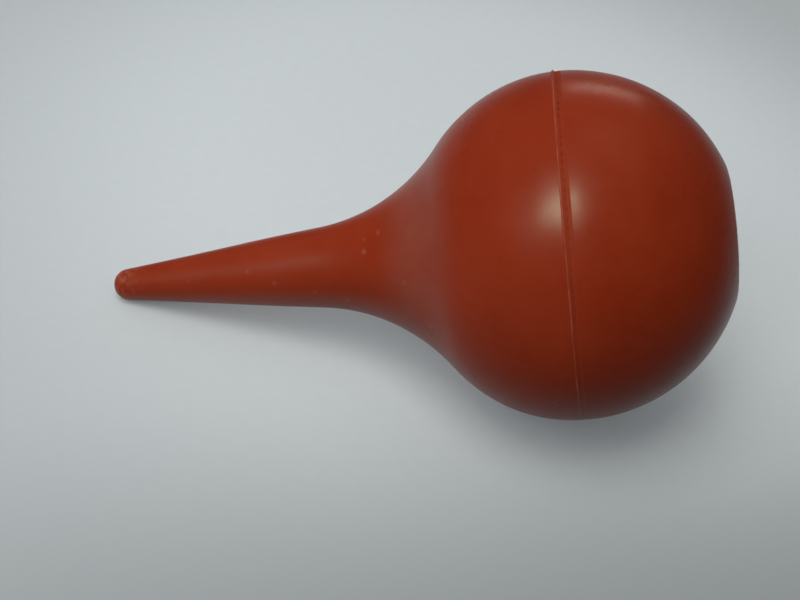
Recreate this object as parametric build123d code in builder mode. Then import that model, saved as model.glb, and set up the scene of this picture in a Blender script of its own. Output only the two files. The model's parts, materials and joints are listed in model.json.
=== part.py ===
"""Pipette filler bulb: a hollow rubber ball with a flat base and a tapered nozzle, lying on its side.

The bulb is moulded as two rubber half shells. Their skived rims are cemented face to face at the
ball's widest ring, and a bead of joining rubber fills the groove left around the outside.

All lengths are in millimetres. Profiles are drawn as (along, out): along runs from the seam plane
towards the nozzle's mouth, and out runs from the bulb's axis to its surface.
"""

from build123d import *
from math import acos, asin, atan2, cos, degrees, pi, radians, sin, sqrt, tan
import os

os.makedirs("parts", exist_ok=True)

# ---------------------------------------------------------------- driving dimensions

# Outside of the ball
ball_radius = 31.0  # at the seam, its widest ring
front_arc = 28.4  # profile of the half that carries the nozzle, centred a little off the axis
rear_arc = 29.8  # profile of the half that carries the base
base_distance = 27.8  # from the seam plane to the flat base
base_round = 3.5  # rounding between the flat base and the ball

# Nozzle
neck_arc = 34.5  # hollow curve from the ball into the nozzle
nozzle_taper = 7.0  # degrees, from the axis to the side of the nozzle
nose_radius = 2.9  # round end of the nozzle
mouth_distance = 84.8  # from the seam plane to the mouth
mouth_round = 0.3  # rounded edge of the mouth
bore_radius = 1.0
bore_length = 20.0  # the straight stretch behind the mouth

# Walls
ball_wall = 3.0
base_wall = 4.5
inner_round = 3.0  # between the floor of the hollow and its side

# Seam
bead_width = 1.6
groove_depth = 0.5  # how deep the bead sits in the two halves
bead_crown = 0.15  # how far the bead stands proud of the ball

# Rest
rest_flat_depth = 0.2  # how far the soft ball flattens under its own weight where it lies

# ---------------------------------------------------------------- profile of the outside


def reach(centre, point, distance):
    """The point at a distance from a centre, in the direction of another point."""
    return centre + (point - centre).normalized() * distance


def on_arc(centre, radius, along):
    """The point of a circle at a given distance along the axis, on the side away from the axis."""
    return Vector(along, centre.Y + sqrt(radius**2 - (along - centre.X) ** 2))


def rounded_base(centre, radius, distance, rounding):
    """Where a ball's arc ends, where its flat base begins, and the centre of the rounding between."""
    height = distance - rounding
    round_centre = on_arc(centre, radius - rounding, -height)
    return reach(centre, round_centre, radius), Vector(-distance, round_centre.Y), round_centre


front_centre = Vector(0, ball_radius - front_arc)
rear_centre = Vector(0, ball_radius - rear_arc)

taper = radians(nozzle_taper)
cone_normal = Vector(sin(taper), cos(taper))
cone_run = Vector(cos(taper), -sin(taper))

# The mouth's rounded edge touches the bore, the mouth's plane and the nozzle's round end.
lip_centre = Vector(mouth_distance - mouth_round, bore_radius + mouth_round)
lip_to_nose = sqrt((nose_radius - mouth_round) ** 2 - lip_centre.Y**2)
nose_centre = Vector(lip_centre.X - lip_to_nose, 0)
nose_to_lip = reach(nose_centre, lip_centre, nose_radius)
lip_to_bore = Vector(lip_centre.X, bore_radius)

# The neck's arc touches the ball's front arc on one side and the nozzle's cone on the other.
neck_height = nose_radius + neck_arc - (front_centre - nose_centre).dot(cone_normal)
neck_run = sqrt((front_arc + neck_arc) ** 2 - neck_height**2)
neck_centre = front_centre + cone_normal * neck_height + cone_run * neck_run

ball_to_neck = reach(front_centre, neck_centre, front_arc)
neck_to_cone = neck_centre - cone_normal * neck_arc
cone_to_nose = nose_centre + cone_normal * nose_radius
base_arc_end, base_flat_edge, base_round_centre = rounded_base(
    rear_centre, rear_arc, base_distance, base_round
)

# ---------------------------------------------------------------- profile of the hollow

hollow_front_arc = front_arc - ball_wall
hollow_rear_arc = rear_arc - ball_wall
hollow_neck_arc = neck_arc + ball_wall
hollow_rim = Vector(0, ball_radius - ball_wall)
hollow_ball_to_neck = reach(front_centre, neck_centre, hollow_front_arc)
hollow_base = base_distance - base_wall
hollow_arc_end, hollow_flat_edge, _ = rounded_base(
    rear_centre, hollow_rear_arc, hollow_base, inner_round
)

# The hollow leaves the neck's arc along the straight line that meets the bore's inner end.
bore_end = Vector(mouth_distance - bore_length, bore_radius)
to_bore = bore_end - neck_centre
touch_angle = atan2(to_bore.Y, to_bore.X) - acos(hollow_neck_arc / to_bore.length)
hollow_neck_to_cone = neck_centre + Vector(cos(touch_angle), sin(touch_angle)) * hollow_neck_arc

# ---------------------------------------------------------------- how the bulb lies

# It rests on the ball and on the nozzle's round end, so its axis leans down to the mouth.
axis_gap = ball_radius - front_arc
arc_height = front_arc - rest_flat_depth
lean = asin((arc_height - nose_radius) / sqrt(nose_centre.X**2 + axis_gap**2)) + atan2(
    axis_gap, nose_centre.X
)
ball_height = arc_height + axis_gap * cos(lean)

# The origin is on the floor, halfway between the mouth and the back of the base.
mouth_reach = mouth_round + lip_centre.X * cos(lean) + lip_centre.Y * sin(lean)
base_reach = base_round - base_round_centre.X * cos(lean) + base_round_centre.Y * sin(lean)
ball_centre = Vector((mouth_reach - base_reach) / 2, 0, ball_height)
towards_mouth = Vector(-cos(lean), 0, -sin(lean))
bulb_axis = Axis(ball_centre, towards_mouth)
profile_plane = Plane(origin=ball_centre, x_dir=towards_mouth, z_dir=(0, 1, 0))

# The flat under the ball is cut well clear of the nozzle, which the floor only touches.
rest_point = Vector(ball_centre.X + axis_gap * sin(lean), 0, 0)
rest_cut = front_arc / 2

# ---------------------------------------------------------------- seam

groove_radius = ball_radius - groove_depth
front_groove_edge = on_arc(front_centre, front_arc, bead_width / 2)
rear_groove_edge = on_arc(rear_centre, rear_arc, -bead_width / 2)
front_groove_corner = Vector(bead_width / 2, groove_radius)
rear_groove_corner = Vector(-bead_width / 2, groove_radius)

# ---------------------------------------------------------------- nozzle half

with BuildPart() as nozzle_half:
    with BuildSketch(profile_plane):
        with BuildLine():
            Line(front_groove_corner, front_groove_edge)
            RadiusArc(front_groove_edge, ball_to_neck, front_arc)
            RadiusArc(ball_to_neck, neck_to_cone, -neck_arc)
            Line(neck_to_cone, cone_to_nose)
            RadiusArc(cone_to_nose, nose_to_lip, nose_radius)
            RadiusArc(nose_to_lip, lip_to_bore, mouth_round)
            Line(lip_to_bore, bore_end)
            Line(bore_end, hollow_neck_to_cone)
            RadiusArc(hollow_neck_to_cone, hollow_ball_to_neck, hollow_neck_arc)
            RadiusArc(hollow_ball_to_neck, hollow_rim, -hollow_front_arc)
            Line(hollow_rim, front_groove_corner)
        make_face()
    revolve(axis=bulb_axis)
    with Locations(rest_point):
        below = (Align.CENTER, Align.CENTER, Align.MAX)
        Cylinder(radius=rest_cut, height=rest_cut, align=below, mode=Mode.SUBTRACT)
nozzle_half.part.label = "nozzle_half"

# ---------------------------------------------------------------- base half

with BuildPart() as base_half:
    with BuildSketch(profile_plane):
        with BuildLine():
            Line(front_groove_corner, rear_groove_corner)
            Line(rear_groove_corner, rear_groove_edge)
            RadiusArc(rear_groove_edge, base_arc_end, -rear_arc)
            RadiusArc(base_arc_end, base_flat_edge, -base_round)
            Line(base_flat_edge, (-base_distance, 0))
            Line((-base_distance, 0), (-hollow_base, 0))
            Line((-hollow_base, 0), hollow_flat_edge)
            RadiusArc(hollow_flat_edge, hollow_arc_end, inner_round)
            RadiusArc(hollow_arc_end, hollow_rim, hollow_rear_arc)
            Line(hollow_rim, front_groove_corner)
        make_face()
    revolve(axis=bulb_axis)
base_half.part.label = "base_half"

# ---------------------------------------------------------------- seam bead

with BuildPart() as seam_bead:
    with BuildSketch(profile_plane):
        with BuildLine():
            Line(rear_groove_edge, rear_groove_corner)
            Line(rear_groove_corner, front_groove_corner)
            Line(front_groove_corner, front_groove_edge)
            ThreePointArc(front_groove_edge, (0, ball_radius + bead_crown), rear_groove_edge)
        make_face()
    revolve(axis=bulb_axis)
seam_bead.part.label = "seam_bead"

# ---------------------------------------------------------------- files and sizes

for piece in (nozzle_half, base_half, seam_bead):
    export_step(piece.part, f"parts/{piece.part.label}.step")


def rounded(values, digits=6):
    return [round(value, digits) for value in values]


def nozzle_radius(behind_mouth):
    """Outside radius of the nozzle's cone at a distance behind the mouth."""
    along = mouth_distance - behind_mouth
    return cone_to_nose.Y + (cone_to_nose.X - along) * tan(taper)


print("lean of the axis, degrees:", round(degrees(lean), 3))
print("ball centre:", rounded(ball_centre))
print("towards the mouth:", rounded(towards_mouth, 8))
print("centre of the mouth:", rounded(ball_centre + towards_mouth * mouth_distance))
print("centre of the flat base:", rounded(ball_centre - towards_mouth * base_distance))
print("flat of the base, radius:", round(base_flat_edge.Y, 3))
rest_flat = nozzle_half.faces().filter_by(GeomType.PLANE).sort_by(Axis.Z)[0]
print("flat under the ball, radius:", round(sqrt(rest_flat.area / pi), 3))
print("bore, radius and straight length:", rounded([bore_radius, bore_length - mouth_round]))
print("nozzle outside radius, 2 mm and 20 mm behind the mouth:",
      rounded([nozzle_radius(2), nozzle_radius(20)], 3))
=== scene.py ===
# %% [markdown]
# # A pipette filler bulb in red natural rubber
#
# The bulb is a hollow rubber ball with a flat base and a long tapered nozzle. A laboratory worker
# squeezes it, plugs the top of a pipette with the nozzle, and lets the ball spring back to draw the
# liquid up. It is moulded as two half shells, which are cemented rim to rim at the ball's widest
# ring, and a thin bead of joining rubber fills the seam.
#
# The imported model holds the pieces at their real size. These cells build what the eye sees: the two
# skins with their slight unevenness, the seam with its ragged bead, and the finishes.

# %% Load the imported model
import json
from math import acos, atan2, ceil, cos, pi, radians, sin, sqrt

import bmesh
import bpy
import numpy as np
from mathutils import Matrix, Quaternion, Vector, noise


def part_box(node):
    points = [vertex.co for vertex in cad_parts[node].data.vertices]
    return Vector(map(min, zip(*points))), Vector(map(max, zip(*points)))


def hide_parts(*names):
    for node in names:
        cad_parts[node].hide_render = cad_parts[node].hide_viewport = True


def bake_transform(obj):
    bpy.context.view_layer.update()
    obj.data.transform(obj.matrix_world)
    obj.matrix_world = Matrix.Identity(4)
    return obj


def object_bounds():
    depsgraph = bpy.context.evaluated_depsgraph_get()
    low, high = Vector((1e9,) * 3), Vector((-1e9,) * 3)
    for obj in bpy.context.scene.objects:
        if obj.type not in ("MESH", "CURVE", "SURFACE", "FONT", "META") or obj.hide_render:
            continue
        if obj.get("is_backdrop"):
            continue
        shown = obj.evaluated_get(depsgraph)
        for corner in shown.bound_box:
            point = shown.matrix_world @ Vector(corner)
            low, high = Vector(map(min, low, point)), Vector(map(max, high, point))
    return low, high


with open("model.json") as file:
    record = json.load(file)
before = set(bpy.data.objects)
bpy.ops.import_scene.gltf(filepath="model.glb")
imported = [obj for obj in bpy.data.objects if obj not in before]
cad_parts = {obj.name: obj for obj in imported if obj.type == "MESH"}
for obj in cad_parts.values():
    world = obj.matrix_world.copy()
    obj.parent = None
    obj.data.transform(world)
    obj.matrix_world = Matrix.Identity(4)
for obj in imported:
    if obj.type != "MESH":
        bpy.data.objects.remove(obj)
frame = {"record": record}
cad_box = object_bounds()

# %% [markdown]
# ## Places
#
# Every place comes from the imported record, in metres. The bore's axis points out of the mouth, and
# the seam bead is a ring round the ball's centre. Two more directions, square to the axis, serve to
# go round the bulb: `upward` leans up from the axis, and `across` is level. A length in millimetres
# is written as a number times `mm`.

# %% Find the bulb's axis and the ball's centre
mm = 0.001
mounts = {mount["name"]: mount for mount in frame["record"]["mounts"]}
towards_mouth = Vector(mounts["nozzle_bore"]["axis"]).normalized()
mouth_centre = Vector(mounts["nozzle_cone"]["pos_m"])
base_centre = Vector(mounts["flat_base"]["pos_m"])
seam_low, seam_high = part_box("seam_bead")
seam_middle = (seam_low + seam_high) / 2
ball_centre = mouth_centre + towards_mouth * (seam_middle - mouth_centre).dot(towards_mouth)
across = Vector((0, 1, 0))
upward = across.cross(towards_mouth)
mouth_distance = (mouth_centre - ball_centre).length / mm
base_distance = (ball_centre - base_centre).length / mm
print("ball centre, mm:", [round(c / mm, 2) for c in ball_centre])
print(f"mouth {mouth_distance:.2f} mm before it, flat base {base_distance:.2f} mm behind it")
print("upward leans:", [round(c, 3) for c in upward])

# %% [markdown]
# ## Camera
#
# The bulb lies across the view and is seen from above, at about the angle of someone who sits at the
# table. The camera is turned a little, so the nozzle points to the left and slightly down. A lens a
# bit longer than normal keeps the ball from looking swollen. The camera is placed by where it aims,
# how far off it stands, and three angles.

# %% Make the camera
camera_aim = Vector((-3.12, -7.89, 17.70)) * mm
camera_distance = 232.4 * mm
camera_azimuth, camera_elevation, camera_roll = -6.1, 40.0, 14.3


def direction(azimuth, elevation):
    """Unit vector from the bulb towards something seen at these angles, in degrees."""
    a, e = radians(azimuth), radians(elevation)
    return Vector((sin(a) * cos(e), -cos(a) * cos(e), sin(e)))


camera = bpy.data.objects.new("camera", bpy.data.cameras.new("camera"))
bpy.context.scene.collection.objects.link(camera)
bpy.context.scene.camera = camera
camera.data.sensor_width = 36
camera.data.lens = 58.5
towards_camera = direction(camera_azimuth, camera_elevation)
camera.location = camera_aim + towards_camera * camera_distance
camera.rotation_mode = "QUATERNION"
upright = (-towards_camera).to_track_quat("-Z", "Y")
camera.rotation_quaternion = upright @ Quaternion((0, 0, 1), radians(camera_roll))
camera.data.clip_start = 10 * mm
bpy.context.scene.view_settings.view_transform = "Standard"
print("camera at, mm:", [round(c / mm) for c in camera.location])

# %% [markdown]
# ## Helpers for materials
#
# Colours are written as sRGB hex values, as a painter's swatch gives them, and Blender's sockets
# want linear light, so one function turns the first into the second. Another adds a node, sets its
# settings and sockets by name or number, and links whatever is given as a socket. A Mix node set to
# RGBA takes the share at socket 0 and the two colours at 6 and 7, and gives the mix at output 2.

# %% Colour and node helpers


def srgb(code):
    """Linear RGBA from a hex colour."""
    channels = [int(code[i : i + 2], 16) / 255 for i in (1, 3, 5)]
    linear = [c / 12.92 if c <= 0.04045 else ((c + 0.055) / 1.055) ** 2.4 for c in channels]
    return (*linear, 1.0)


def add(tree, kind, inputs, output=0, **settings):
    """Adds a shader node and returns one of its outputs."""
    node = tree.nodes.new("ShaderNode" + kind)
    for name, value in settings.items():
        setattr(node, name, value)
    for name, value in inputs.items():
        if isinstance(value, bpy.types.NodeSocket):
            tree.links.new(value, node.inputs[name])
        else:
            node.inputs[name].default_value = value
    return node.outputs[output] if node.outputs else None


def new_material(name):
    """An empty node material and its tree."""
    material = bpy.data.materials.new(name)
    material.use_nodes = True
    material.node_tree.nodes.clear()
    return material, material.node_tree


print("middle grey, linear:", round(srgb("#808080")[0], 3))

# %% [markdown]
# ## Floor
#
# The bulb lies on a sheet of office paper, matt and faintly blue. A modelled sheet with edges and a
# grain of fibres could be made, but only the paper's tone and the shadow on it show, so one large
# flat disc is enough. The window's light makes a pool beyond the bulb and falls off round it, most of
# all towards the near corner, so the paper's tone does too.
#
# Light Path tells the tone that is seen, directly or in a gloss, from the tone that the paper throws
# back up at the rubber. That one is darker, most of all round the ball, so the ball's underside
# stays deep. What is seen of the paper also glows a little, a painted glow that is no lamp, which
# lifts and softens the shadow.

# %% Tone the paper
paper, tree = new_material("office_paper")
place = add(tree, "TexCoord", {}, output=3)
fibre_size = 2.5 * mm  # real fibres are finer, and would not show
paper_tone, fibre_tone, dim_tone = srgb("#c7cdd0"), srgb("#ccd2d4"), srgb("#868b8d")
fibres = add(tree, "TexNoise", {"Vector": place, "Scale": 1 / fibre_size, "Detail": 3.0})
tone = add(tree, "Mix", {0: fibres, 6: paper_tone, 7: fibre_tone}, output=2, data_type="RGBA")

to_near_corner = (0.35, -1.0, 0.0)
nearer = add(tree, "VectorMath", {0: place, 1: to_near_corner}, output=1, operation="DOT_PRODUCT")
falls_off = add(tree, "MapRange", {"Value": nearer, "From Min": 5 * mm, "From Max": 90 * mm},
                interpolation_type="SMOOTHSTEP")
tone = add(tree, "Mix", {0: falls_off, 6: tone, 7: dim_tone}, output=2, data_type="RGBA")

pool_centre = (20 * mm, 65 * mm, 0.0)
pool_edge = {"From Min": 60 * mm, "From Max": 150 * mm, "To Max": 0.45}
from_pool = add(tree, "VectorMath", {0: place, 1: pool_centre}, output=1, operation="DISTANCE")
leaves_pool = add(tree, "MapRange", {"Value": from_pool, **pool_edge},
                  interpolation_type="SMOOTHSTEP")
tone = add(tree, "Mix", {0: leaves_pool, 6: tone, 7: dim_tone}, output=2, data_type="RGBA")
print("paper, linear: lit", round(paper_tone[1], 3), "and dim", round(dim_tone[1], 3))

# %% Let the paper throw back less light under the ball


def is_seen(tree):
    """1 for what the camera sees, directly, in a gloss or through a glass, and 0 for thrown light."""
    camera_ray, gloss_ray, glass_ray = (add(tree, "LightPath", {}, output=i) for i in (0, 3, 6))
    seen = add(tree, "Math", {0: camera_ray, 1: gloss_ray}, operation="MAXIMUM")
    return add(tree, "Math", {0: seen, 1: glass_ray}, operation="MAXIMUM")


across_sheet = add(tree, "SeparateXYZ", {"Vector": place})
by_nozzle = add(tree, "MapRange", {"Value": across_sheet, "From Min": 5 * mm, "From Max": -20 * mm},
                interpolation_type="SMOOTHSTEP")
round_ball, round_nozzle = srgb("#373a3c"), srgb("#949a9c")
thrown = add(tree, "Mix", {0: by_nozzle, 6: round_ball, 7: round_nozzle}, output=2, data_type="RGBA")
seen = is_seen(tree)
tone = add(tree, "Mix", {0: seen, 6: thrown, 7: tone}, output=2, data_type="RGBA")
# Painted glow: what is seen of the paper glows a little, which lifts and softens the shadow.
paper_glow = 0.16
surface = add(tree, "BsdfPrincipled", {
    "Base Color": tone,
    "Roughness": 0.85,
    "IOR": 1.45,
    "Emission Color": tone,
    "Emission Strength": add(tree, "Math", {0: seen, 1: paper_glow}, operation="MULTIPLY"),
})
add(tree, "OutputMaterial", {"Surface": surface})
print("paper nodes:", len(tree.nodes))

# %% Lay the paper
floor_radius = 2000 * mm
floor_corners = 96
turns = [2 * pi * i / floor_corners for i in range(floor_corners)]
rim = [(floor_radius * cos(t), floor_radius * sin(t), 0) for t in turns]
floor_mesh = bpy.data.meshes.new("floor")
floor_mesh.from_pydata(rim, [], [range(floor_corners)])
floor_mesh.materials.append(paper)
floor = bpy.data.objects.new("floor", floor_mesh)
bpy.context.scene.collection.objects.link(floor)
floor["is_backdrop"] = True
print("floor of paper, radius, m:", floor_radius)

# %% [markdown]
# ## Light
#
# A window high up, a little to the left and in front, makes the one clear shadow, and a fainter
# light comes from the front left. A single lamp could make both the shadow and the shine, but then
# the shine's size and the shadow's softness are tied together. So the window is made twice: a soft
# one that lights the matt colour, and a slim one that only the gloss sees. The gloss also sees a
# broad faint ceiling and, low beyond the bulb, a slim lamp that draws the faint arc on the ball's
# far side.

# %% Hang the lamps


def soft_box(name, towards, distance, size, white, colour, in_gloss=True, in_matt=True):
    """A rectangular lamp that faces the ball. `white` is how bright it makes a white floor there."""
    way = Vector(towards).normalized()
    lamp = bpy.data.lights.new(name, "AREA")
    lamp.shape = "RECTANGLE"
    lamp.size, lamp.size_y = size
    lamp.color = srgb(colour)[:3]
    lamp.energy = white * pi**2 * distance**2 / way.z
    box = bpy.data.objects.new(name, lamp)
    box.location = ball_centre + way * distance
    box.rotation_mode = "QUATERNION"
    box.rotation_quaternion = way.to_track_quat("Z", "Y")
    box.visible_camera = False
    box.visible_glossy = in_gloss
    box.visible_diffuse = in_matt
    bpy.context.scene.collection.objects.link(box)


metre = 1000 * mm
soft_box("window", towards=(-0.29, -0.26, 0.92), distance=0.9 * metre,
         size=(0.5 * metre, 0.5 * metre), white=0.39, colour="#fffdf8", in_gloss=False)
soft_box("window_shine", towards=(-0.38, -0.455, 0.8), distance=0.8 * metre,
         size=(0.12 * metre, 0.3 * metre), white=1.3, colour="#e4fad6", in_matt=False)
soft_box("side_fill", towards=(-0.62, -0.55, 0.56), distance=0.9 * metre,
         size=(0.5 * metre, 0.4 * metre), white=0.145, colour="#f6faff", in_gloss=False)
soft_box("ceiling_shine", towards=(0.1, 0.3, 0.95), distance=0.9 * metre,
         size=(0.5 * metre, 0.4 * metre), white=0.1, colour="#f4fae6", in_matt=False)
soft_box("far_shine", towards=(0.12, 0.92, 0.39), distance=0.6 * metre,
         size=(0.24 * metre, 0.05 * metre), white=0.032, colour="#fff0dc", in_matt=False)

# %% [markdown]
# ## Room
#
# The walls and the ceiling throw light back from every side and fill the shadows. A room could be
# modelled, but the bulb only takes in how bright each side is, so the world's colour is enough. It
# is dim on the right and brighter up on the left. What is seen of it, directly or in a gloss, is an
# even grey, so no wall makes a second highlight.

# %% Paint the room
world = bpy.data.worlds.new("room")
bpy.context.scene.world = world
world.use_nodes = True
world.node_tree.nodes.clear()
tree = world.node_tree
up_left = (-0.6, 0.25, 0.4)
ray = add(tree, "TexCoord", {})
leftward = add(tree, "VectorMath", {0: ray, 1: up_left}, output=1, operation="DOT_PRODUCT")
on_left = add(tree, "MapRange", {"Value": leftward, "From Min": -0.6, "From Max": 0.8})
dim_side, bright_side, seen_room = srgb("#272522"), srgb("#bdbfc1"), srgb("#4a4b4c")
room = add(tree, "Mix", {0: on_left, 6: dim_side, 7: bright_side}, output=2, data_type="RGBA")
room = add(tree, "Mix", {0: is_seen(tree), 6: room, 7: seen_room}, output=2, data_type="RGBA")
light = add(tree, "Background", {"Color": room, "Strength": 1.0})
add(tree, "OutputWorld", {"Surface": light})
print("room light, linear:", round(dim_side[1], 3), "to", round(bright_side[1], 3))

# %% [markdown]
# ## Outline
#
# The outline is drawn in millimetres as points of `along`, the distance from the seam towards the
# mouth, and `out`, the distance from the axis. It could be traced point by point, but the mould was
# turned from a few sizes, and so is this: arcs and a straight cone that touch one another smoothly,
# as in the CAD.

# %% Driving dimensions, in mm
ball_radius = 31.0  # at the seam, its widest ring
front_arc = 28.4  # profile of the half that carries the nozzle
rear_arc = 29.8  # profile of the half that carries the base
base_round = 3.5
neck_arc = 34.5
nozzle_taper = radians(7.0)
nose_radius = 2.9
mouth_round = 0.3
bore_radius = 1.0
bore_length = 20.0
ball_wall = 3.0
base_wall = 4.5
inner_round = 3.0
bead_width = 1.6
groove_depth = 0.5
print("ball", 2 * ball_radius, "mm across, hollow", 2 * (ball_radius - ball_wall), "mm")

# %% Find where the outside's arcs touch


def reach(centre, point, distance):
    """The point at a distance from a centre, in the direction of another point."""
    return centre + (point - centre).normalized() * distance


def on_arc(centre, radius, along):
    """The point of a circle at a given distance along the axis, on the side away from the axis."""
    return Vector((along, centre.y + sqrt(radius**2 - (along - centre.x) ** 2)))


def rounded_base(centre, radius, distance, rounding):
    """Where a ball's arc ends, where its flat base begins, and the centre of the rounding between."""
    round_centre = on_arc(centre, radius - rounding, rounding - distance)
    return reach(centre, round_centre, radius), Vector((-distance, round_centre.y)), round_centre


front_centre = Vector((0, ball_radius - front_arc))
rear_centre = Vector((0, ball_radius - rear_arc))
cone_normal = Vector((sin(nozzle_taper), cos(nozzle_taper)))
cone_run = Vector((cos(nozzle_taper), -sin(nozzle_taper)))

lip_centre = Vector((mouth_distance - mouth_round, bore_radius + mouth_round))
nose_centre = Vector((lip_centre.x - sqrt((nose_radius - mouth_round) ** 2 - lip_centre.y**2), 0))
nose_to_lip = reach(nose_centre, lip_centre, nose_radius)
lip_to_bore = Vector((lip_centre.x, bore_radius))

neck_height = nose_radius + neck_arc - (front_centre - nose_centre).dot(cone_normal)
neck_run = sqrt((front_arc + neck_arc) ** 2 - neck_height**2)
neck_centre = front_centre + cone_normal * neck_height + cone_run * neck_run
ball_to_neck = reach(front_centre, neck_centre, front_arc)
neck_to_cone = neck_centre - cone_normal * neck_arc
cone_to_nose = nose_centre + cone_normal * nose_radius
base_arc_end, base_flat_edge, base_round_centre = rounded_base(
    rear_centre, rear_arc, base_distance, base_round
)
print("ball meets neck at", [round(c, 2) for c in ball_to_neck], "mm")
print("neck meets cone at", [round(c, 2) for c in neck_to_cone], "mm")

# %% Find where the hollow's arcs touch
hollow_neck_arc = neck_arc + ball_wall
hollow_rim = Vector((0, ball_radius - ball_wall))
hollow_ball_to_neck = reach(front_centre, neck_centre, front_arc - ball_wall)
hollow_base = base_distance - base_wall
hollow_arc_end, hollow_flat_edge, hollow_round_centre = rounded_base(
    rear_centre, rear_arc - ball_wall, hollow_base, inner_round
)
bore_end = Vector((mouth_distance - bore_length, bore_radius))
to_bore = bore_end - neck_centre
touch_angle = atan2(to_bore.y, to_bore.x) - acos(hollow_neck_arc / to_bore.length)
hollow_neck_to_cone = neck_centre + Vector((cos(touch_angle), sin(touch_angle))) * hollow_neck_arc
print("the hollow leaves the neck's arc at", [round(c, 2) for c in hollow_neck_to_cone], "mm")

# %% [markdown]
# ## Skins
#
# Each half shell is its outline turned round the axis, with its outside and its hollow, so it has
# the real wall. Moulded rubber is never quite round: its surface wanders by about a tenth of a
# millimetre over a few centimetres, which bends the highlights. A modifier could push a perfect
# shape about, but it is as easy to move each point when it is made, and to spare the tip and the
# seam. So the outside is moved by that much, square to its outline.

# %% Draw runs and arcs


def run(start, end, step):
    """Points from start to end, about a step apart, without the last."""
    count = max(1, ceil((end - start).length / step))
    return [start.lerp(end, i / count) for i in range(count)]


def arc(centre, start, end, step):
    """Points from start to end round a centre, about a step apart, without the last."""
    radius = (start - centre).length
    first = atan2(start.y - centre.y, start.x - centre.x)
    turn = (atan2(end.y - centre.y, end.x - centre.x) - first + pi) % (2 * pi) - pi
    count = max(1, ceil(abs(turn) * radius / step))
    angles = [first + turn * i / count for i in range(count)]
    return [centre + Vector((cos(a), sin(a))) * radius for a in angles]


print("points on a run of 10 mm, 2 mm apart:", len(run(Vector((0, 0)), Vector((10, 0)), 2)))

# %% Draw the four outlines
fine, coarse, lip_step = 0.8, 2.0, 0.08  # mm from point to point
front_edge = on_arc(front_centre, front_arc, bead_width / 2)
rear_edge = on_arc(rear_centre, rear_arc, -bead_width / 2)
front_corner = Vector((bead_width / 2, ball_radius - groove_depth))
rear_corner = Vector((-bead_width / 2, ball_radius - groove_depth))

nozzle_outside = [
    *arc(front_centre, front_edge, ball_to_neck, fine),
    *arc(neck_centre, ball_to_neck, neck_to_cone, fine),
    *run(neck_to_cone, cone_to_nose, fine),
    *arc(nose_centre, cone_to_nose, nose_to_lip, fine / 4),
    *arc(lip_centre, nose_to_lip, lip_to_bore, lip_step),
]
nozzle_inside = [
    *run(lip_to_bore, bore_end, coarse),
    *run(bore_end, hollow_neck_to_cone, coarse),
    *arc(neck_centre, hollow_neck_to_cone, hollow_ball_to_neck, coarse),
    *arc(front_centre, hollow_ball_to_neck, hollow_rim, coarse),
    hollow_rim,
    front_corner,
]
base_outside = [
    *arc(rear_centre, rear_edge, base_arc_end, fine),
    *arc(base_round_centre, base_arc_end, base_flat_edge, fine / 2),
    *run(base_flat_edge, Vector((-base_distance, 0)), fine),
    Vector((-base_distance, 0)),
]
base_inside = [
    *run(Vector((-hollow_base, 0)), hollow_flat_edge, coarse),
    *arc(hollow_round_centre, hollow_flat_edge, hollow_arc_end, coarse / 2),
    *arc(rear_centre, hollow_arc_end, hollow_rim, coarse),
    hollow_rim,
    front_corner,
    rear_corner,
]
print("outline points:", len(nozzle_outside + nozzle_inside), len(base_outside + base_inside))

# %% Place points, and let the surface wander
broad_size, broad_wander = 26, 0.16
small_size, small_wander = 9, 0.03


def place_of(along, out, turn):
    """A point in the bulb's own millimetres: along the axis, across and upward."""
    return Vector((along, out * sin(turn), out * cos(turn)))


def in_frame(point):
    """The same point in the shared frame, in metres."""
    return ball_centre + (towards_mouth * point.x + across * point.y + upward * point.z) * mm


def wander(point):
    """How far the moulded surface lies off its outline at a point, in mm."""
    broad = noise.noise(point / broad_size)
    small = noise.noise(point / small_size + Vector((7, 3, 5)))
    return broad_wander * broad + small_wander * small


print("the surface wanders by up to", broad_wander + small_wander, "mm")

# %% Turn the outlines round the axis
tip_fade, seam_fade, least_at_seam = 6, 2, 0.1
skin_steps = 224


def normals(points):
    """The direction square to an outline at each of its points."""
    ends = zip([points[0], *points[:-1]], [*points[1:], points[-1]])
    tangents = [(after - before).normalized() for before, after in ends]
    return [Vector((-tangent.y, tangent.x)) for tangent in tangents]


def lathe(outside, inside, steps):
    """Rings of points round the axis. The outside wanders, but less at the tip and by the seam."""
    turns = [2 * pi * s / steps for s in range(steps)]
    grid = []
    for point, normal in zip(outside, normals(outside)):
        from_seam = abs(point.x) - bead_width / 2
        fade = min(1, point.y / tip_fade) * min(1, from_seam / seam_fade + least_at_seam)
        ring = []
        for turn in turns:
            shift = normal * wander(place_of(point.x, point.y, turn)) * fade
            ring.append(place_of(point.x + shift.x, max(0, point.y + shift.y), turn))
        grid.append(ring)
    return grid + [[place_of(point.x, point.y, turn) for turn in turns] for point in inside]


nozzle_grid = lathe(nozzle_outside, nozzle_inside, skin_steps)
base_grid = lathe(base_outside, base_inside, skin_steps)
print("skin rings:", len(nozzle_grid), "and", len(base_grid), "of", skin_steps, "points")

# %% [markdown]
# ## Seam
#
# The two shells meet at the widest ring. The joining rubber was rolled into a shallow groove, nearly
# flush, and left a thin ridge along the nozzle's side. Beside the ridge the roller's teeth pressed a
# row of small pits, clear on the upper side and almost gone below. A grain of flash stands out near
# the top. A bump map could draw all this on a plain ring, but the ridge and the grain show in the
# ball's outline, so every point of the ring is set to its height.

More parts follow.
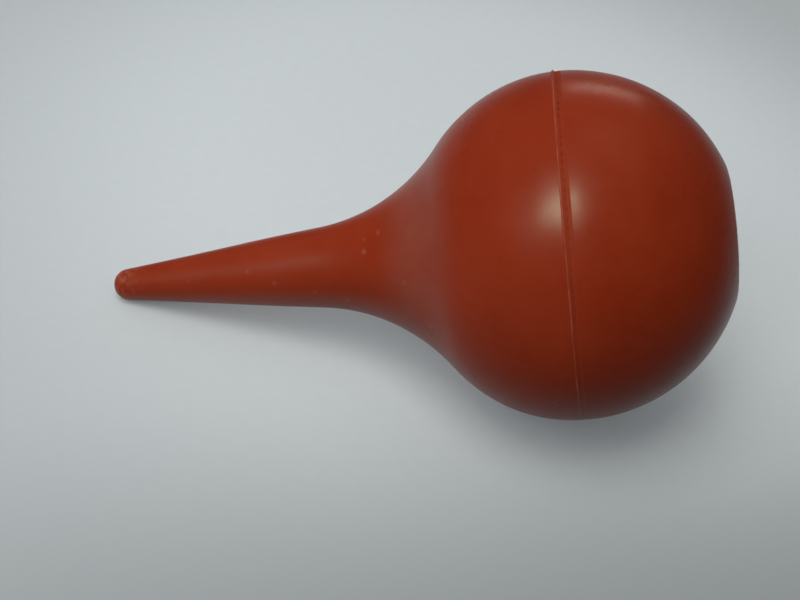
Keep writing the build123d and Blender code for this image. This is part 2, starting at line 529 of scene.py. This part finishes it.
# %% Choose the seam's sizes, in mm
seam_steps = 1464
trough_width, trough_depth = 1.9, 0.02
ridge_place, ridge_width, ridge_height = 0.64, 0.58, 0.08
cut_place, cut_width, cut_depth = -0.02, 0.6, 0.05
pits, pit_length, pit_depth = 122, 1.15, 0.12
pitted_turn, pitted_reach, least_pitted = radians(5), radians(42), 0.12
flash_turn, flash_length, flash_height = radians(33), 1.2, 0.25
seam_reach, edge_dip = 0.98, 0.07
slow_size, quick_size = 7, 1.3
drift_size, drift_reach = 4, 0.07
seam_strips = 28
print("pits stand", round(2 * pi * ball_radius / pits, 2), "mm apart")

# %% Roll the bead into its groove


def uneven(ring, size, offset):
    """Noise round the ring in swells about `size` mm long. Another offset gives another noise."""
    return noise.noise(ring / size + Vector((offset, 0, 0)))


def hump(distance, width):
    """A smooth hump of height 1 that ends half its width away."""
    return cos(pi * distance / width) ** 2 if abs(distance) < width / 2 else 0.0


def cut_height(ring, turn):
    """How deep the line beside the ridge is cut and pitted at a turn, in mm."""
    # Each pit has its own place in the noise, which shifts it and says how hard it was pressed.
    pit = round(turn * pits / (2 * pi))
    jitter = noise.noise(Vector((pit * 0.73, 0.5, 0.2)))
    force = 0.75 + 0.8 * noise.noise(Vector((pit * 0.41, 2.5, 0.2)))
    to_pit = (turn - (pit + 0.3 * jitter) * 2 * pi / pits) * ball_radius
    from_pitted = abs((turn - pitted_turn + pi) % (2 * pi) - pi)
    clear = min(1, max(least_pitted, 2 - from_pitted / pitted_reach))
    cut = cut_depth * (0.8 + 0.5 * uneven(ring, slow_size, 13))
    return cut + pit_depth * clear * force * hump(to_pit, pit_length)


def seam_height(along, turn):
    """How far the seam stands off the ball at a place, in mm."""
    ring = Vector((0, sin(turn), cos(turn))) * ball_radius
    drift = drift_reach * uneven(ring, drift_size, 5)
    slow, quick = uneven(ring, slow_size, 3), uneven(ring, quick_size, 9)
    ridge = ridge_height * (0.85 + 0.5 * slow + 0.3 * quick)
    from_flash = ((turn - flash_turn + pi) % (2 * pi) - pi) * ball_radius
    flash = flash_height * hump(from_flash, flash_length)
    return (
        (ridge + flash) * hump(along - ridge_place - drift, ridge_width)
        - trough_depth * hump(along, trough_width)
        - cut_height(ring, turn) * hump(along - cut_place - drift, cut_width)
        - edge_dip * max(0, abs(along) - bead_width / 2) / (seam_reach - bead_width / 2)
    )


def ball_surface(along):
    """Distance from the axis to the ball's surface near the seam."""
    centre, radius = (front_centre, front_arc) if along > 0 else (rear_centre, rear_arc)
    return on_arc(centre, radius, along).y


seam_alongs = [seam_reach * (1 - 2 * i / seam_strips) for i in range(seam_strips + 1)]
seam_turns = [2 * pi * s / seam_steps for s in range(seam_steps)]
seam_grid = [
    [place_of(a, ball_surface(a) + seam_height(a, turn), turn) for turn in seam_turns]
    for a in seam_alongs
]
for corner in (rear_corner, front_corner):
    seam_grid.append([place_of(corner.x, corner.y, turn) for turn in seam_turns])
print("seam rings:", len(seam_grid), "of", seam_steps, "points")

# %% [markdown]
# ## Moulded rubber
#
# The bulb is natural rubber, filled with red iron oxide and vulcanised in a mould. To the eye it is
# opaque and satin: the mould leaves a fine grain a third of a millimetre across, and a slight orange
# peel at a few millimetres. A picture of rubber could be wrapped round it, but noise placed in real
# millimetres has no seams, and it follows the rubber when the ball is squeezed.

# %% Mix the rubber
cloud_size, streak_size = 17, 3.2
deep_red, warm_red, pale_red = srgb("#87290f"), srgb("#8e2e13"), srgb("#94351c")


def rubber(name):
    """The moulded rubber's material, its tree, the place on the rubber and the rubber's colour."""
    material, tree = new_material(name)
    place = add(tree, "Attribute", {}, output=1, attribute_name="rest_place")
    clouds = add(tree, "TexNoise", {"Vector": place, "Scale": 1 / cloud_size, "Detail": 3.0})
    clouded = add(tree, "MapRange", {"Value": clouds, "From Min": 0.3, "From Max": 0.7},
                  interpolation_type="SMOOTHSTEP")
    colour = add(tree, "Mix", {0: clouded, 6: deep_red, 7: warm_red}, output=2, data_type="RGBA")
    streaks = add(tree, "TexNoise", {"Vector": place, "Scale": 1 / streak_size, "Detail": 4.0})
    faint = add(tree, "MapRange", {"Value": streaks, "From Min": 0.2, "From Max": 0.8, "To Max": 0.3},
                interpolation_type="SMOOTHSTEP")
    colour = add(tree, "Mix", {0: faint, 6: colour, 7: pale_red}, output=2, data_type="RGBA")
    return material, tree, place, colour


bulb_rubber, tree, place, colour = rubber("bulb_rubber")
along = add(tree, "SeparateXYZ", {"Vector": place})
print("rubber nodes:", len(tree.nodes))

# %% Grain the surface
grain_size, peel_size = 0.35, 3.6


def grain(tree, place, fine_height, broad_height):
    """The mould's fine grain over a slight orange peel. Heights are in mm."""
    fine_noise = add(tree, "TexNoise", {"Vector": place, "Scale": 1 / grain_size, "Detail": 2.0})
    broad_noise = add(tree, "TexNoise", {"Vector": place, "Scale": 1 / peel_size, "Detail": 1.0})
    broad = {"Height": broad_noise, "Strength": 1.0, "Distance": broad_height * mm}
    fine = {"Height": fine_noise, "Strength": 1.0, "Distance": fine_height * mm}
    return add(tree, "Bump", {**fine, "Normal": add(tree, "Bump", broad)})


print("grain", grain_size, "mm across, orange peel", peel_size, "mm")

# %% [markdown]
# ## Dust, painted sheen, wear and specks
#
# Old rubber gets a faint dusty bloom, which hides in the hollow of the neck where fingers don't wipe
# it, and on the nozzle's underside. Both pale tones are also painted light: in the neck's hollow a
# painted sheen, and on the underside a painted reflection of the lit paper. The nozzle is handled
# more and is a little paler, and its last few millimetres are scuffed by the glass of the pipettes.
# Soft, pale specks of filler show on the neck and the nozzle, and hardly on the ball. Painted masks
# could place these, but they follow from where a place is along the axis and round it, so map
# ranges on those are enough.

# %% Dust the neck and paint its sheen
dust_and_sheen_size = 6
hollow_dust_and_sheen, underside_dust_and_reflection = srgb("#86655a"), srgb("#b0948c")
# Dust and painted sheen: the neck's hollow is painted paler, both as dust and as the sheen where its
# surface turns away.
dust_and_sheen_noise = add(tree, "TexNoise", {"Vector": place, "Scale": 1 / dust_and_sheen_size, "Detail": 5.0})
dust = {"Value": dust_and_sheen_noise, "From Min": 0.2, "From Max": 0.8, "To Min": 0.08, "To Max": 0.32}
past_ball = add(tree, "MapRange", {"Value": along, "From Min": 18, "From Max": 25},
                interpolation_type="SMOOTHSTEP")
before_cone = add(tree, "MapRange", {"Value": along, "From Min": 35, "From Max": 26},
                  interpolation_type="SMOOTHSTEP")
in_hollow = add(tree, "Math", {0: past_ball, 1: before_cone}, operation="MULTIPLY")
dust_and_sheen_share = add(tree, "Math", {0: in_hollow, 1: add(tree, "MapRange", dust)}, operation="MULTIPLY")
colour = add(tree, "Mix", {0: dust_and_sheen_share, 6: colour, 7: hollow_dust_and_sheen}, output=2, data_type="RGBA")
print("dust in the neck's hollow, up to:", dust["To Max"])

# %% Dust the nozzle's underside and paint the paper's reflection on it


def distance_out(tree, place):
    """How far a place on the rubber is from the bulb's axis, in mm."""
    off_axis = add(tree, "VectorMath", {0: place, 1: (0.0, 1.0, 1.0)}, operation="MULTIPLY")
    return add(tree, "VectorMath", {0: off_axis}, output=1, operation="LENGTH")


# Dust and painted reflection: the nozzle's underside is painted paler, both as dust and as the lit
# paper's reflection.
under_dust_and_reflection = 0.22
height = add(tree, "SeparateXYZ", {"Vector": place}, output=2)
facing_up = add(tree, "Math", {0: height, 1: distance_out(tree, place)}, operation="DIVIDE")
under = add(tree, "MapRange", {"Value": facing_up, "From Min": 0.2, "From Max": -0.5},
            interpolation_type="SMOOTHSTEP")
past_neck = add(tree, "MapRange", {"Value": along, "From Min": 24, "From Max": 36,
                                   "To Max": under_dust_and_reflection}, interpolation_type="SMOOTHSTEP")
dust_and_reflection_below = add(tree, "Math", {0: under, 1: past_neck}, operation="MULTIPLY")
colour = add(tree, "Mix", {0: dust_and_reflection_below, 6: colour, 7: underside_dust_and_reflection}, output=2, data_type="RGBA")
print("dust under the nozzle, up to:", under_dust_and_reflection)

# %% Wear the nozzle
scuff_size, scuff_start, scuff_full = 1.1, 77.5, 84
handled_tone, scuff_tone = srgb("#9c5038"), srgb("#a4664f")
handled = add(tree, "MapRange", {"Value": along, "From Min": 40, "From Max": 70, "To Max": 0.05},
              interpolation_type="SMOOTHSTEP")
colour = add(tree, "Mix", {0: handled, 6: colour, 7: handled_tone}, output=2, data_type="RGBA")
near_tip = add(tree, "MapRange", {"Value": along, "From Min": scuff_start, "From Max": scuff_full},
               interpolation_type="SMOOTHSTEP")
scuff_noise = add(tree, "TexNoise", {"Vector": place, "Scale": 1 / scuff_size, "Detail": 4.0})
scuffed = add(tree, "MapRange", {"Value": scuff_noise, "From Min": 0.42, "From Max": 0.68,
                                 "To Max": 0.55})
scuffs = add(tree, "Math", {0: near_tip, 1: scuffed}, operation="MULTIPLY")
colour = add(tree, "Mix", {0: scuffs, 6: colour, 7: scuff_tone}, output=2, data_type="RGBA")
print("scuffs from", scuff_start, "to", round(mouth_distance, 2), "mm")

# %% Scatter the specks
speck_spacing = 4.2
speck_edge, speck_core = 0.17, 0.03  # how far each reaches from the middle, in spacings
least_lot = 0.4
speck_tone = srgb("#a5684f")
cells = {"Vector": place, "Scale": 1 / speck_spacing}
to_speck = add(tree, "TexVoronoi", cells)
speck_lot = add(tree, "SeparateColor", {"Color": add(tree, "TexVoronoi", cells, output=1)})
spot = add(tree, "MapRange", {"Value": to_speck, "From Min": speck_edge, "From Max": speck_core},
           interpolation_type="SMOOTHSTEP")
chosen = add(tree, "Math", {0: speck_lot, 1: least_lot}, operation="GREATER_THAN")
speck = add(tree, "Math", {0: spot, 1: chosen}, operation="MULTIPLY")
by_neck = add(tree, "MapRange", {"Value": along, "From Min": 12, "From Max": 28,
                                 "To Min": 0.03, "To Max": 0.38})
speck = add(tree, "Math", {0: speck, 1: by_neck}, operation="MULTIPLY")
colour = add(tree, "Mix", {0: speck, 6: colour, 7: speck_tone}, output=2, data_type="RGBA")
speck_width = 2 * speck_edge * speck_spacing
print("specks about", speck_spacing, "mm apart, and up to", round(speck_width, 2), "mm across")

# %% Give the rubber its satin surface
rubbed_size = 8
rubbed = add(tree, "TexNoise", {"Vector": place, "Scale": 1 / rubbed_size, "Detail": 3.0})
satin = add(tree, "MapRange", {"Value": rubbed, "From Min": 0.2, "From Max": 0.8,
                               "To Min": 0.26, "To Max": 0.32}, interpolation_type="SMOOTHSTEP")
worn = add(tree, "MapRange", {"Value": along, "From Min": 24, "From Max": 44, "To Max": 0.05},
           interpolation_type="SMOOTHSTEP")
surface = add(tree, "BsdfPrincipled", {
    "Base Color": colour,
    "Roughness": add(tree, "Math", {0: satin, 1: worn}, operation="ADD"),
    "IOR": 1.5,
    "Specular IOR Level": 0.09,
    "Normal": grain(tree, place, fine_height=0.006, broad_height=0.02),
})
add(tree, "OutputMaterial", {"Surface": surface})
print("rubber nodes:", len(tree.nodes))

# %% [markdown]
# ## Rolled rubber of the seam
#
# The joining rubber is the same red mix, cured in the open and not against a polished mould. To the
# eye it is duller on the upper side, so the window's shine breaks off at it. Lower down, rubbing
# made it about as smooth as the ball. Its ridge is painted pale, partly as rubbing and partly as a
# painted highlight on its lit slope, and its pits are darkened with painted shade. A second
# texture could be lined up with the shape, but both follow from how high the surface stands, which
# is its distance from the axis.

# %% Mix the seam's rubber
seam_rubber, tree, place, colour = rubber("seam_rubber")
patch_size = 1.7
ridge_pale_and_highlit, pit_painted_shade = srgb("#a8604f"), srgb("#56200f")
rise = add(tree, "Math", {0: distance_out(tree, place), 1: ball_radius}, operation="SUBTRACT")
patches = add(tree, "TexNoise", {"Vector": place, "Scale": 1 / patch_size, "Detail": 3.0})
patchy = add(tree, "MapRange", {"Value": patches, "From Min": 0.3, "From Max": 0.7,
                                "To Min": 0.25, "To Max": 0.6})
# Rubbing and painted highlight: the ridge's top is painted pale, partly as rubbing and partly as its
# lit slope.
on_ridge = add(tree, "MapRange", {"Value": rise, "From Min": 0.01, "From Max": 0.06})
ridge_rubbed_and_highlit = add(tree, "Math", {0: on_ridge, 1: patchy}, operation="MULTIPLY")
colour = add(tree, "Mix", {0: ridge_rubbed_and_highlit, 6: colour, 7: ridge_pale_and_highlit}, output=2, data_type="RGBA")
# Painted shade: the deeper the surface sinks into a pit, the darker it is painted.
pit_shade_share = add(tree, "MapRange", {"Value": rise, "From Min": -0.04, "From Max": -0.16, "To Max": 0.65})
colour = add(tree, "Mix", {0: pit_shade_share, 6: colour, 7: pit_painted_shade}, output=2, data_type="RGBA")
print("seam colour nodes:", len(tree.nodes))

# %% Give the seam its dull surface
height = add(tree, "SeparateXYZ", {"Vector": place}, output=2)
upper_side = {"Value": height, "From Min": 4, "From Max": 15}
dull = add(tree, "MapRange", {**upper_side, "To Min": 0.32, "To Max": 0.6},
           interpolation_type="SMOOTHSTEP")
gloss = add(tree, "MapRange", {**upper_side, "To Min": 0.09, "To Max": 0.05},
            interpolation_type="SMOOTHSTEP")
surface = add(tree, "BsdfPrincipled", {
    "Base Color": colour,
    "Roughness": dull,
    "IOR": 1.5,
    "Specular IOR Level": gloss,
    "Sheen Weight": 0.04,
    "Sheen Roughness": 0.4,
    "Sheen Tint": srgb("#e6c4b8"),
    "Normal": grain(tree, place, fine_height=0.012, broad_height=0.0),
})
add(tree, "OutputMaterial", {"Surface": surface})
print("seam rubber nodes:", len(tree.nodes))

# %% [markdown]
# ## The pieces
#
# Each grid of points becomes one closed mesh, and a point that would sink below the floor stays on
# it. Every point also remembers where it was in the bulb's own directions, in millimetres, as an
# attribute. The materials read it, so their patterns stay on the rubber when it is squeezed.

# %% Make the three pieces
weld_distance = 0.001 * mm
sharp_edge = radians(50)


def make_piece(name, grid, node, material):
    """A closed mesh from rings of points, each ring joined to the next and the last to the first."""
    rings, steps = len(grid), len(grid[0])
    points = [point for ring in grid for point in ring]
    placed = [in_frame(point) for point in points]
    corners = [(corner.x, corner.y, max(corner.z, 0)) for corner in placed]
    faces = [
        (r * steps + s, r * steps + (s + 1) % steps,
         (r + 1) % rings * steps + (s + 1) % steps, (r + 1) % rings * steps + s)
        for r in range(rings) for s in range(steps)
    ]
    mesh = bpy.data.meshes.new(name)
    mesh.from_pydata(corners, [], faces)
    remembered = mesh.attributes.new("rest_place", "FLOAT_VECTOR", "POINT")
    remembered.data.foreach_set("vector", np.array([tuple(point) for point in points]).ravel())
    joined = bmesh.new()
    joined.from_mesh(mesh)
    bmesh.ops.remove_doubles(joined, verts=joined.verts, dist=weld_distance)
    bmesh.ops.recalc_face_normals(joined, faces=joined.faces)
    joined.to_mesh(mesh)
    joined.free()
    mesh.shade_smooth()
    mesh.set_sharp_from_angle(angle=sharp_edge)
    mesh.materials.append(material)
    piece = bpy.data.objects.new(name, mesh)
    bpy.context.scene.collection.objects.link(piece)
    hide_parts(node)
    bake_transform(piece)
    print(name, len(mesh.polygons), "faces")


make_piece("nozzle_skin", nozzle_grid, "nozzle_half", bulb_rubber)
make_piece("base_skin", base_grid, "base_half", bulb_rubber)
make_piece("seam_ring", seam_grid, "seam_bead", seam_rubber)

# %% [markdown]
# ## Size
#
# Both boxes, the CAD's and the finished model's, are printed one after the other.

# %% Print both sizes
visual_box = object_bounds()
sizes = {"cad": [list(corner) for corner in cad_box], "visual": [list(corner) for corner in visual_box]}
for name, (low, high) in sizes.items():
    print(name, "size, mm:", [round((b - a) / mm, 2) for a, b in zip(low, high)])
